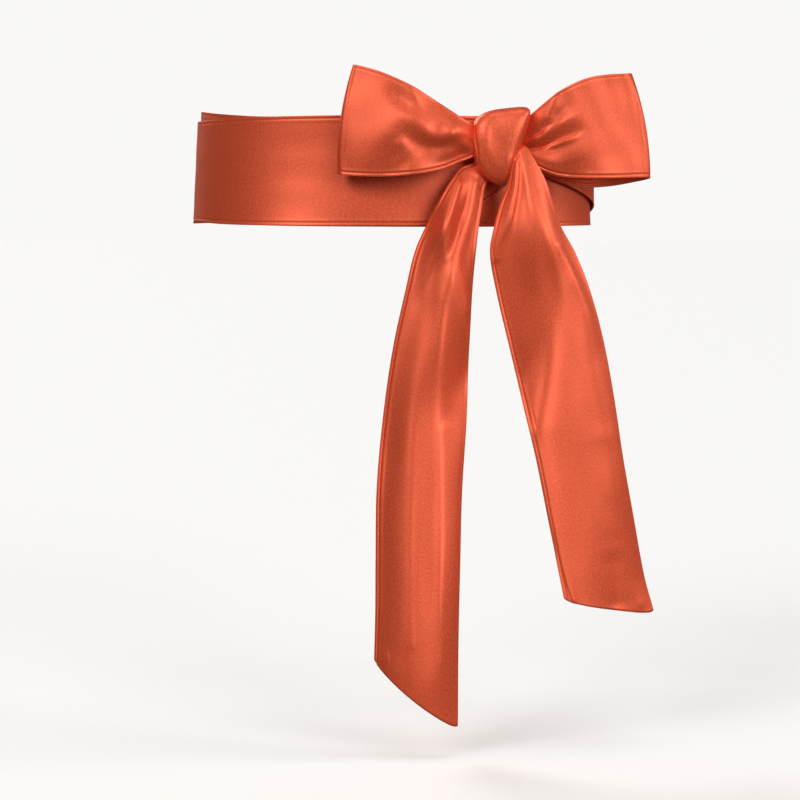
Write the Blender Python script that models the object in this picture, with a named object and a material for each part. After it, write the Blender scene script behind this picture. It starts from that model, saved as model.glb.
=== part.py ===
"""A satin sash wound twice round a waist and tied in a bow at the front.

The frame is +Z up and the front faces -Y. The origin is on the waist's axis, half way up the
band. One long doubled strip of satin makes every stretch: its middle lies flat across the front,
its two ends cross at the centre back, come forward over the first turn and are tied off centre.
The tables are in millimetres, and each row is a section across the strip.
"""

import math
from collections import namedtuple

import bmesh
import bpy
from mathutils import Vector

MM = 0.001

# The strip of satin
WALL = 1.6
LAYER_GAP = 0.5
SEAM_GAP = 0.3
OUTER = WALL + LAYER_GAP

# The waist that the cloth is wound round, at the middle of the first turn's thickness
WAIST_HALF_WIDTH = 139.0
WAIST_HALF_DEPTH = 99.2
WAIST_SQUARENESS = 2.2
WAIST_TAPER = 0.05

# Where the wraps start at the centre back: just short of it, clear of the first turn's ends
CROSSING = 179.86

# The knot: turned to face along the waist's curve there, with its front, back and side bulges
KNOT_TURN = 20.0
KNOT_FRONT = 20.5
KNOT_BACK = 15.8
KNOT_CENTRE_Y = -105.5
KNOT_SKEW = 0.10
KNOT_TOP_SQUARENESS = 0.72
KNOT_SIDE_SQUARENESS = 0.4

Colour = namedtuple("Colour", "red green blue")
SATIN = Colour(0.72, 0.125, 0.055)
SATIN_ROUGHNESS = 0.38

# A section of a stretch on the waist: where it is, its two edges, its height off the first turn,
# and how deep its gathers are.
Band = namedtuple("Band", "bearing low high out pleat")

FIRST_TURN = (
    Band(-180, 0.5, 36.0, 0.7, 5.0),
    Band(-175, 0.5, 36.5, 0.2, 4.6),
    Band(-170, -5.0, 38.0, 0.0, 3.8),
    Band(-160, -26.0, 38.0, 0.0, 2.0),
    Band(-148, -37.0, 38.5, 0.0, 0.5),
    Band(-130, -37.5, 39.2, 0.0, 0.0),
    Band(-92, -36.0, 41.2, 0.0, 0.0),
    Band(-78, -35.5, 41.0, 0.0, 0.0),
    Band(-58, -37.0, 38.8, 0.0, 0.0),
    Band(-38, -38.2, 36.9, 0.0, 0.0),
    Band(0, -38.8, 37.0, 0.0, 0.0),
    Band(30, -39.0, 37.0, 0.0, 0.0),
    Band(60, -39.0, 37.0, 0.0, 0.0),
    Band(90, -39.2, 37.0, 0.0, 0.0),
    Band(130, -38.5, 37.5, 0.0, 0.0),
    Band(148, -38.5, 37.0, 0.0, 0.5),
    Band(160, -38.0, 26.0, 0.0, 2.0),
    Band(170, -38.0, 5.0, 0.0, 3.8),
    Band(175, -36.5, -0.8, 0.2, 4.6),
    Band(180, -36.0, -0.7, 0.7, 5.0),
)

WRAP_LEFT = (
    Band(-CROSSING, -36.0, -0.5, 0.7, 5.0),
    Band(-179, -36.1, -0.5, 0.9, 5.0),
    Band(-175, -36.5, -0.5, 7.1, 4.6),
    Band(-170, -38.0, 5.0, 7.2, 3.8),
    Band(-160, -38.0, 26.0, 5.2, 2.0),
    Band(-148, -38.5, 36.0, 3.3, 0.5),
    Band(-130, -38.5, 36.5, OUTER, 0.0),
    Band(-92, -38.4, 34.3, OUTER, 0.0),
    Band(-76, -36.3, 34.2, OUTER, 0.0),
    Band(-56, -37.6, 35.2, OUTER, 0.0),
    Band(-38, -38.1, 36.6, OUTER, 0.0),
    Band(0, -38.0, 37.7, OUTER, 0.0),
    Band(12, -37.0, 37.6, OUTER, 0.3),
    Band(19, -30.0, 36.6, OUTER + 0.4, 1.0),
    Band(25, -20.5, 35.0, OUTER + 0.8, 1.8),
    Band(31, -10.5, 31.0, OUTER + 0.8, 2.4),
)

WRAP_RIGHT = (
    Band(CROSSING, 0.5, 36.0, 0.7, 5.0),
    Band(179, 0.5, 36.1, 0.9, 5.0),
    Band(175, 0.5, 36.5, 7.1, 4.6),
    Band(170, -5.0, 38.0, 7.2, 3.8),
    Band(160, -26.0, 38.0, 5.2, 2.0),
    Band(148, -36.0, 38.5, 3.3, 0.5),
    Band(130, -37.0, 38.5, OUTER, 0.0),
    Band(105, -33.0, 38.0, OUTER, 0.0),
    Band(90, -27.0, 37.5, OUTER, 0.3),
    Band(70, -17.0, 36.5, OUTER, 1.0),
    Band(53, -8.0, 35.5, OUTER + 0.3, 2.0),
    Band(42, 0.0, 34.0, OUTER + 0.6, 3.0),
    Band(33, 6.0, 32.0, OUTER + 0.6, 3.4),
)

# A section of a free stretch: its two edges as points, and how far its middle stands out.
Section = namedtuple("Section", "edge far_edge crown")

# The loops run from the knot along the front, round the tip and back behind. Each section goes
# from the lower edge to the upper one.
LEFT_LOOP = (
    Section((66, -114, 14), (66, -114, 24), 0.5),
    Section((56, -118, 9.5), (56, -118, 30), 1.5),
    Section((46, -123, 5.7), (45.3, -123, 36), 3.0),
    Section((31.7, -127, 0.3), (31.7, -127, 44.8), 4.5),
    Section((10.1, -129, -3.4), (12.8, -129, 56.8), 5.5),
    Section((-12.2, -128, -4.4), (-6.1, -127, 65.6), 5.0),
    Section((-31.3, -121, -3.7), (-21.5, -121, 70.4), 3.6),
    Section((-37.6, -112, -2.7), (-26.8, -113, 71.2), 3.2),
    Section((-31.5, -104.5, -3.5), (-20.0, -106, 68.5), 1.2),
    Section((-10.0, -104.5, -4.5), (-3.0, -105, 62.0), 0.8),
    Section((14.0, -105.0, -3.5), (16.0, -105, 51.0), 1.0),
    Section((38.0, -104.5, 2.5), (38.0, -104.5, 40.0), 1.0),
    Section((54.0, -105.0, 9.0), (54.0, -105, 30.0), 0.8),
    Section((66.0, -106, 14.0), (66.0, -106, 24.0), 0.4),
)

RIGHT_LOOP = (
    Section((82.0, -107, 13), (82.0, -107, 24), 0.5),
    Section((90.0, -111, 8), (92.5, -111, 36), 1.5),
    Section((100.5, -114, 0.2), (103.7, -114, 46.0), 3.5),
    Section((114.2, -114.5, -4.4), (113.8, -114.5, 54.0), 5.0),
    Section((135.4, -110, -5.6), (131.0, -110, 62.2), 5.5),
    Section((156.5, -101, -5.4), (146.5, -101, 65.2), 4.0),
    Section((171.0, -92, -5.1), (158.8, -92, 66.0), 3.4),
    Section((177.2, -83, -5.6), (164.0, -83, 66.0), 3.2),
    Section((170.4, -76, -7.6), (158.0, -76, 63.5), 2.2),
    Section((148.0, -75, -11.4), (140.0, -75, 58.0), 2.0),
    Section((126.0, -80, -11.5), (123.0, -80, 50.0), 2.5),
    Section((108.0, -88, -5.5), (107.0, -88, 42.0), 2.0),
    Section((94.0, -96, 2.0), (94.0, -96, 31.0), 1.0),
    Section((82.0, -101, 12.0), (82.0, -101, 22.0), 0.4),
)

# The tails run down from the knot. Each section goes from the left edge to the right one.
LEFT_TAIL = (
    Section((66, -109, 14), (74, -109, 10), 0.5),
    Section((55, -111, 4.5), (67.4, -111, -4.1), 2.0),
    Section((46.5, -112, 1.5), (64.6, -112, -7.5), 3.5),
    Section((39.5, -114, -7.0), (62.1, -114, -13.6), 5.0),
    Section((32.5, -117, -18.5), (60.4, -117, -23.7), 6.0),
    Section((25.1, -120, -33.1), (58.3, -120, -37.2), 7.0),
    Section((15.5, -122, -54.1), (56.2, -122, -54.1), 8.5),
    Section((8.8, -124, -81.1), (53.5, -124, -81.1), 10.0),
    Section((0.0, -127, -121.6), (51.5, -127, -121.6), 11.5),
    Section((-6.8, -129, -169), (49.8, -129, -169), 12.5),
    Section((-10.9, -131, -216), (46.7, -131, -216), 13.0),
    Section((-11.6, -133, -264), (45.3, -133, -266), 13.0),
    Section((-11.8, -135, -300), (44.2, -135, -318), 13.0),
    Section((-12.6, -136, -334.0), (43.9, -136, -380.4), 13.0),
)

RIGHT_TAIL = (
    Section((74, -112, 14), (84, -110, 17), 0.5),
    Section((82.1, -119.5, 13.0), (90.3, -117.8, 15.6), 1.0),
    Section((80.0, -121, 1.4), (94.9, -121, 8.1), 2.5),
    Section((77.3, -123, -11.5), (103.0, -122, -6.8), 4.5),
    Section((72.5, -125, -23.7), (108.0, -122, -22.3), 6.0),
    Section((68.4, -127, -39.2), (114.0, -121, -39.2), 7.0),
    Section((65.7, -128, -55.4), (123.2, -119, -55.4), 7.5),
    Section((69.8, -129, -81.1), (133.6, -117, -81.1), 7.5),
    Section((78.0, -131, -116.4), (143.4, -113, -116.4), 7.5),
    Section((87.6, -133, -155.9), (151.0, -109, -155.9), 7.5),
    Section((97.2, -135, -196.9), (157.4, -105, -196.9), 7.0),
    Section((105.5, -137, -238), (165.2, -103, -238), 6.5),
    Section((113.2, -138, -276), (173.6, -101, -281), 6.0),
    Section((116.6, -139, -292.5), (180.6, -101, -305.8), 6.0),
)

# The knot's outline, level by level from its foot to its top.
Level = namedtuple("Level", "z left right")

KNOT_LEVELS = (
    Level(-10.8, 69.0, 79.0),
    Level(-5.4, 61.5, 80.4),
    Level(1.4, 56.6, 82.4),
    Level(17.0, 53.6, 87.4),
    Level(32.0, 53.0, 93.8),
    Level(42.0, 53.0, 100.0),
)

# A fold on a stretch, as soft as its width: it starts and ends along the strip, moves across it
# from one place to the other, and stands out (or, below zero, sinks in). Places are fractions.
Fold = namedtuple("Fold", "start end across far_across width height")

LEFT_LOOP_FOLDS = (
    Fold(0.02, 0.30, 0.50, 0.62, 0.10, 2.6),
    Fold(0.02, 0.26, 0.40, 0.40, 0.08, -2.6),
    Fold(0.03, 0.22, 0.24, 0.24, 0.09, 2.0),
    Fold(0.03, 0.30, 0.78, 0.84, 0.08, -2.0),
    Fold(0.74, 0.97, 0.50, 0.50, 0.14, 1.2),
)

RIGHT_LOOP_FOLDS = (
    Fold(0.02, 0.28, 0.62, 0.70, 0.09, 2.6),
    Fold(0.02, 0.30, 0.48, 0.52, 0.11, -2.8),
    Fold(0.02, 0.24, 0.30, 0.26, 0.09, 2.2),
    Fold(0.04, 0.24, 0.84, 0.88, 0.08, -1.8),
    Fold(0.72, 0.97, 0.50, 0.50, 0.14, 1.6),
)

LEFT_TAIL_FOLDS = (
    Fold(0.01, 0.40, 0.62, 0.70, 0.12, -3.6),
    Fold(0.01, 0.35, 0.34, 0.30, 0.10, 1.8),
    Fold(0.10, 0.75, 0.88, 0.90, 0.10, 1.4),
)

RIGHT_TAIL_FOLDS = (
    Fold(0.03, 0.34, 0.34, 0.26, 0.10, -3.2),
    Fold(0.03, 0.42, 0.64, 0.72, 0.13, 2.2),
    Fold(0.20, 0.70, 0.45, 0.30, 0.16, -2.4),
)

# How finely each stretch is divided, along it and across it
DIVISIONS = {
    "first_turn": (64, 10),
    "wrap_left": (36, 10),
    "wrap_right": (30, 10),
    "left_loop": (28, 10),
    "right_loop": (28, 10),
    "left_tail": (24, 10),
    "right_tail": (24, 10),
}
KNOT_SIDES = 28
KNOT_RINGS = 14
PLEATS = 2.5

# A short step along a stretch, as a part of its length, over which its direction is read
STEP = 0.004

# The cut ends of the tails: how far their middle bulges, how far their corners are rounded off
# and over what width, and how soon before the end both begin
END_BULGE = 3.2
END_CORNER = 2.2
CORNER_WIDTH = 2.4
END_START = 12

# A fold rises quickly from the end at the knot and dies away slowly
FOLD_RISE = 1.6

# Too near the knot's axis to have a direction
ON_AXIS = 0.001


def clear_scene():
    """Removes whatever the scene holds."""
    for old in list(bpy.data.objects):
        bpy.data.objects.remove(old)


def satin(name):
    """A new satin material in the sash's colour."""
    material = bpy.data.materials.new(name + "_satin")
    material.use_nodes = True
    shader = material.node_tree.nodes["Principled BSDF"]
    shader.inputs["Base Color"].default_value = (*SATIN, 1.0)
    shader.inputs["Roughness"].default_value = SATIN_ROUGHNESS
    shader.inputs["Metallic"].default_value = 0.0
    return material


def smooth_between(places, values, place):
    """A smooth curve through the values, read at one place: each value is a Vector."""
    last = len(places) - 1
    i = max(k for k in range(last) if places[k] <= place or k == 0)
    span = places[i + 1] - places[i]
    t = (place - places[i]) / span

    def slope(k):
        before, after = max(k - 1, 0), min(k + 1, last)
        return (values[after] - values[before]) / (places[after] - places[before])

    return (
        values[i] * (2 * t**3 - 3 * t**2 + 1)
        + slope(i) * span * (t**3 - 2 * t**2 + t)
        + values[i + 1] * (3 * t**2 - 2 * t**3)
        + slope(i + 1) * span * (t**3 - t**2)
    )


def waist_point(bearing, z, out):
    """A point `out` mm off the waist, at a bearing in degrees from the centre front towards +X."""
    angle = math.radians(bearing)
    half_width = WAIST_HALF_WIDTH - WAIST_TAPER * z
    half_depth = WAIST_HALF_DEPTH - WAIST_TAPER * z
    power = 2 / WAIST_SQUARENESS
    across = math.copysign(abs(math.sin(angle)) ** power, math.sin(angle))
    along = -math.copysign(abs(math.cos(angle)) ** power, math.cos(angle))
    normal = Vector((
        math.copysign(abs(across) ** (WAIST_SQUARENESS - 1), across) / half_width,
        math.copysign(abs(along) ** (WAIST_SQUARENESS - 1), along) / half_depth,
        0.0,
    )).normalized()
    return Vector((half_width * across, half_depth * along, z)) + normal * out


def band_surface(table):
    """The surface of a stretch on the waist, as a function of the places along and across it."""
    first, last = table[0].bearing, table[-1].bearing
    places = [(row.bearing - first) / (last - first) for row in table]
    values = [Vector((row.low, row.high, row.out, row.pleat)) for row in table]

    def surface(along, across):
        low, high, out, pleat = smooth_between(places, values, along)
        gather = 0.5 - 0.5 * math.cos(2 * math.pi * PLEATS * across)
        bearing = first + (last - first) * along
        return waist_point(bearing, low + (high - low) * across, out + max(pleat, 0.0) * gather)

    return surface


def fold_height(folds, along, across):
    """How far the folds move the cloth out, at one place."""
    height = 0.0
    for fold in folds:
        if fold.start < along < fold.end:
            part = (along - fold.start) / (fold.end - fold.start)
            middle = fold.across + (fold.far_across - fold.across) * part
            rise = math.sin(math.pi * min(part * FOLD_RISE, (1 + part) / 2))
            height += fold.height * rise * math.exp(-(((across - middle) / fold.width) ** 2))
    return height


def end_reach(across, width):
    """How far the cut end of a tail reaches past its straight cut, at one place across it."""
    bulge = END_BULGE * (1 - (2 * across - 1) ** 2)
    near = math.exp(-across * width / CORNER_WIDTH)
    far = math.exp(-(1 - across) * width / CORNER_WIDTH)
    return bulge - END_CORNER * (near + far)


def free_surface(table, folds, facing, cut_end=False):
    """The surface of a free stretch. `facing` is 1 or -1, whichever turns its normal outwards."""
    middles = [(Vector(row.edge) + Vector(row.far_edge)) / 2 for row in table]
    runs = [0.0]
    for before, after in zip(middles, middles[1:]):
        runs.append(runs[-1] + (after - before).length)
    places = [run / runs[-1] for run in runs]
    edges = [Vector(row.edge) for row in table]
    far_edges = [Vector(row.far_edge) for row in table]
    crowns = [Vector((row.crown, 0.0)) for row in table]

    def flat(along, across):
        edge = smooth_between(places, edges, along)
        return edge.lerp(smooth_between(places, far_edges, along), across)

    def surface(along, across):
        ahead, behind = min(along + STEP, 1.0), max(along - STEP, 0.0)
        run = flat(ahead, across) - flat(behind, across)
        width = flat(along, 1.0) - flat(along, 0.0)
        normal = run.cross(width).normalized() * facing
        crown = smooth_between(places, crowns, along).x * (1 - (2 * across - 1) ** 2)
        point = flat(along, across) + normal * (crown + fold_height(folds, along, across))
        if cut_end:
            point += run.normalized() * end_reach(across, width.length) * along**END_START
        return point

    return surface


def new_object(name, form):
    """A new object in the scene from a bmesh, smooth shaded and in its own satin."""
    mesh = bpy.data.meshes.new(name)
    form.to_mesh(mesh)
    form.free()
    mesh.shade_smooth()
    mesh.materials.append(satin(name))
    made = bpy.data.objects.new(name, mesh)
    bpy.context.scene.collection.objects.link(made)
    return made


def cloth(name, surface, knot_space=None):
    """A stretch of cloth: a grid laid on its surface, given its wall, and cut clear of the knot."""
    divisions_along, divisions_across = DIVISIONS[name]
    form = bmesh.new()
    bmesh.ops.create_grid(form, x_segments=divisions_along, y_segments=divisions_across, size=0.5)
    for point in form.verts:
        point.co = surface(point.co.x + 0.5, point.co.y + 0.5) * MM
    made = new_object(name, form)
    wall = made.modifiers.new("wall", "SOLIDIFY")
    wall.thickness = WALL * MM
    wall.offset = 0.0
    wall.use_quality_normals = True
    if knot_space:
        cut = made.modifiers.new("into the knot", "BOOLEAN")
        cut.operation = "DIFFERENCE"
        cut.solver = "EXACT"
        cut.object = knot_space
    return made


def knot_form(name, grow):
    """The knot as one rounded form, `grow` mm larger all round: broad on top, drawn in below."""
    places = [level.z for level in KNOT_LEVELS]
    values = [Vector((level.left, level.right)) for level in KNOT_LEVELS]
    middle_z = (places[0] + places[-1]) / 2
    half_height = (places[-1] - places[0]) / 2
    turn = math.radians(KNOT_TURN)
    form = bmesh.new()
    bmesh.ops.create_uvsphere(form, u_segments=KNOT_SIDES, v_segments=KNOT_RINGS, radius=1.0)
    for point in form.verts:
        x, y, z = point.co
        ring = math.hypot(x, y)
        lift = math.copysign(abs(z) ** KNOT_TOP_SQUARENESS, z)
        level = middle_z + half_height * lift
        left, right = smooth_between(places, values, level)
        full = ring**KNOT_SIDE_SQUARENESS
        side = x / ring if ring > ON_AXIS else 0.0
        ahead = y / ring if ring > ON_AXIS else 0.0
        half_width = (right - left) / 2 * full + grow * ring
        depth = KNOT_FRONT if ahead < 0 else KNOT_BACK
        reach = ahead * (depth * full + grow * ring)
        across = side * half_width
        point.co = Vector((
            (left + right) / 2 + across,
            KNOT_CENTRE_Y + reach + across * math.sin(turn),
            level + grow * lift + KNOT_SKEW * across * max(lift, 0.0),
        )) * MM
    return new_object(name, form)


def build():
    """Builds the sash, stretch by stretch."""
    clear_scene()
    knot_form("knot", 0.0)
    knot_space = knot_form("knot_space", SEAM_GAP)
    knot_space.hide_render = True
    knot_space.display_type = "WIRE"

    cloth("first_turn", band_surface(FIRST_TURN))
    cloth("wrap_left", band_surface(WRAP_LEFT), knot_space)
    cloth("wrap_right", band_surface(WRAP_RIGHT), knot_space)
    cloth("left_loop", free_surface(LEFT_LOOP, LEFT_LOOP_FOLDS, -1), knot_space)
    cloth("right_loop", free_surface(RIGHT_LOOP, RIGHT_LOOP_FOLDS, 1), knot_space)
    cloth("left_tail", free_surface(LEFT_TAIL, LEFT_TAIL_FOLDS, 1, cut_end=True), knot_space)
    cloth("right_tail", free_surface(RIGHT_TAIL, RIGHT_TAIL_FOLDS, 1, cut_end=True), knot_space)


build()
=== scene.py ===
"""The looks of a satin sash wound twice round a waist and tied in a bow.

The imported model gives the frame: +Z is up, the front faces -Y, and the origin is on the waist's
axis half way up the band. Each stretch of the sash is a fine sheet on the form of its solid, with
the creases, rolled edges and weave that the solid leaves out. Lengths in the tables are in
millimetres, and creases are given as they are seen from the front.
"""

from __future__ import annotations

import logging
import math
from dataclasses import dataclass, field
from enum import Enum
from typing import Any, NamedTuple, Sequence

import bmesh
import bpy
import numpy as np
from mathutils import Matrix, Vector, noise

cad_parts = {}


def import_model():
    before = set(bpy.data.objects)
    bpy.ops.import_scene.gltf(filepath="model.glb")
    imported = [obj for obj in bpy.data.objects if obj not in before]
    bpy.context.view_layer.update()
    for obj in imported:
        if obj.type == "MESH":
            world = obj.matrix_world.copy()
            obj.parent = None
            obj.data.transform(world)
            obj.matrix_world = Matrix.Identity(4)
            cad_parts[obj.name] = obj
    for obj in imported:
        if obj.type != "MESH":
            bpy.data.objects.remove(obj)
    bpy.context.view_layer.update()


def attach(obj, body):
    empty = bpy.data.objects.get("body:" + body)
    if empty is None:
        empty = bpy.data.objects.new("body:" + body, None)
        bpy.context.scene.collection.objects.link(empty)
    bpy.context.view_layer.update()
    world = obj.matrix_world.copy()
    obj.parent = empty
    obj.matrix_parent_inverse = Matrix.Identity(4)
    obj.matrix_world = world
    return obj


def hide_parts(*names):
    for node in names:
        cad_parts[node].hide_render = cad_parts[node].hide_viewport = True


log = logging.getLogger("satin_sash")

MM = 0.001
UV_NAME = "strip"

STRIP_WIDTH = 76.0
SHEET_WALL = 0.9


class Face(Enum):
    """The panel of a loop that a crease lies on."""

    FRONT = "front"
    BACK = "back"
    BOTH = "both"


class Turn(NamedTuple):
    """A section of the strip on the waist: its bearing, edges, height off the first turn, gathers."""

    bearing: float
    low: float
    high: float
    out: float
    pleat: float


class Section(NamedTuple):
    """A section of a free stretch: its two edges as points, and how far its middle stands out."""

    edge: tuple[float, float, float]
    far_edge: tuple[float, float, float]
    crown: float


class Level(NamedTuple):
    """A level of the knot: its height and its left and right side."""

    z: float
    left: float
    right: float


def linear_colour(sheet_hex: str) -> tuple[float, float, float, float]:
    """Turns an sRGB hex colour to linear light.

    Args:
        sheet_hex: the colour as "#RRGGBB".

    Returns:
        Red, green, blue and an alpha of 1.
    """
    channels = [int(sheet_hex[i : i + 2], 16) / 255 for i in (1, 3, 5)]
    red, green, blue = (
        c / 12.92 if c <= 0.04045 else ((c + 0.055) / 1.055) ** 2.4 for c in channels
    )
    return red, green, blue, 1.0


def add_node(
    tree: bpy.types.NodeTree,
    kind: str,
    settings: dict[str, Any] | None = None,
    inputs: dict[str | int, Any] | None = None,
) -> bpy.types.Node:
    """Adds a node with its settings, and fills its inputs with values or other nodes' outputs.

    Args:
        tree: the node tree to add to.
        kind: the node's type.
        settings: the node's own settings by name.
        inputs: a value, or another node's output, for each input by name or number.

    Returns:
        The new node.
    """
    node = tree.nodes.new(kind)
    for name, value in (settings or {}).items():
        setattr(node, name, value)
    for name, value in (inputs or {}).items():
        if isinstance(value, bpy.types.NodeSocket):
            tree.links.new(value, node.inputs[name])
        else:
            node.inputs[name].default_value = value
    return node


def eased(part: np.ndarray) -> np.ndarray:
    """A smooth step from 0 to 1 as the part goes from 0 to 1."""
    part = np.clip(part, 0.0, 1.0)
    return part * part * (3 - 2 * part)


class SmoothTable:
    """Rows of numbers at rising places, read along one smooth curve through them all."""

    def __init__(self, places: Sequence[float], rows: Sequence[Sequence[float]]) -> None:
        """Keeps the rows and works out their slopes.

        Args:
            places: where each row stands, rising.
            rows: the numbers of each row.
        """
        self.places = np.asarray(places, float)
        self.rows = np.asarray(rows, float)
        before = np.maximum(np.arange(len(rows)) - 1, 0)
        after = np.minimum(np.arange(len(rows)) + 1, len(rows) - 1)
        spans = (self.places[after] - self.places[before])[:, None]
        self.slopes = (self.rows[after] - self.rows[before]) / spans

    def at(self, where: np.ndarray) -> np.ndarray:
        """Reads the curve at several places.

        Args:
            where: the places.

        Returns:
            One row of numbers for each place.
        """
        i = np.clip(np.searchsorted(self.places, where, side="right") - 1, 0, len(self.places) - 2)
        span = (self.places[i + 1] - self.places[i])[:, None]
        t = (where - self.places[i])[:, None] / span
        return (
            self.rows[i] * (2 * t**3 - 3 * t**2 + 1)
            + self.slopes[i] * span * (t**3 - 2 * t**2 + t)
            + self.rows[i + 1] * (3 * t**2 - 2 * t**3)
            + self.slopes[i + 1] * span * (t**3 - t**2)
        )


@dataclass(frozen=True)
class Crease:
    """A soft ridge in the cloth, or a trough where its height is below zero.

    The run is the line of its crest. The width is how far its flanks reach at the start and at
    the end of the run. The lean widens the flank on the left of the run and narrows the other.
    """

    run: tuple[tuple[float, float], ...]
    height: float
    width: float
    far_width: float
    starts: float = 1.0
    ends: float = 0.0
    lean: float = 0.0
    face: Face = Face.FRONT
    steps: int = 28
    fade_in: float = 0.35
    fade_out: float = 0.45

    def line(self) -> np.ndarray:
        """The run as many points along a smooth curve."""
        points = np.asarray(self.run, float)
        gaps = np.hypot(*np.diff(points, axis=0).T)
        places = np.concatenate([[0.0], np.cumsum(gaps)])
        return SmoothTable(places, points).at(np.linspace(0.0, places[-1], self.steps))

    def lift(self, chart: np.ndarray) -> np.ndarray:
        """How far the crease moves the cloth.

        Args:
            chart: the cloth's points on the flat chart that the run is drawn on.

        Returns:
            The height at each point, in millimetres.
        """
        line = self.line()
        start, run = line[:-1], np.diff(line, axis=0)
        offset = chart[:, None, :] - start
        part = np.clip((offset * run).sum(2) / (run**2).sum(1), 0.0, 1.0)
        gap = offset - part[..., None] * run
        distance = np.hypot(gap[..., 0], gap[..., 1])
        nearest = distance.argmin(1)
        each = np.arange(len(chart))
        gap, run = gap[each, nearest], run[nearest]
        distance = distance[each, nearest]
        side = np.sign(run[:, 0] * gap[:, 1] - run[:, 1] * gap[:, 0])
        place = (nearest + part[each, nearest]) / (len(line) - 1)
        width = self.width + (self.far_width - self.width) * place
        width *= 1 + self.lean * np.tanh(2 * side * distance / width)
        strength = self.starts + (1 - self.starts) * eased(place / self.fade_in)
        strength *= self.ends + (1 - self.ends) * eased((1 - place) / self.fade_out)
        return self.height * strength * np.exp(-((distance / width) ** 2))


@dataclass(frozen=True)
class Swell:
    """A soft oval swell in the cloth, or a hollow where its height is below zero."""

    place: tuple[float, float]
    reach: tuple[float, float]
    turn: float
    height: float
    face: Face = Face.FRONT

    def lift(self, chart: np.ndarray) -> np.ndarray:
        """How far the swell moves the cloth.

        Args:
            chart: the cloth's points on the flat chart that the swell's place is given on.

        Returns:
            The height at each point, in millimetres.
        """
        offset = chart - self.place
        cos, sin = math.cos(math.radians(self.turn)), math.sin(math.radians(self.turn))
        long = (offset[:, 0] * cos + offset[:, 1] * sin) / self.reach[0]
        wide = (offset[:, 1] * cos - offset[:, 0] * sin) / self.reach[1]
        return self.height * np.exp(-(long**2) - wide**2)


@dataclass(frozen=True)
class Hem:
    """The pressed edge of the doubled satin: a rolled lip, a fine groove and a low second lip."""

    lip: float = 0.40
    lip_place: float = 0.8
    lip_width: float = 0.8
    groove: float = -0.75
    groove_place: float = 2.1
    groove_width: float = 0.55
    inner: float = 0.30
    inner_place: float = 3.5
    inner_width: float = 1.0

    def lift(self, from_edge: np.ndarray) -> np.ndarray:
        """How far the edge's profile moves the cloth, at each distance from the edge."""
        return (
            self.lip * np.exp(-(((from_edge - self.lip_place) / self.lip_width) ** 2))
            + self.groove * np.exp(-(((from_edge - self.groove_place) / self.groove_width) ** 2))
            + self.inner * np.exp(-(((from_edge - self.inner_place) / self.inner_width) ** 2))
        )


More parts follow.
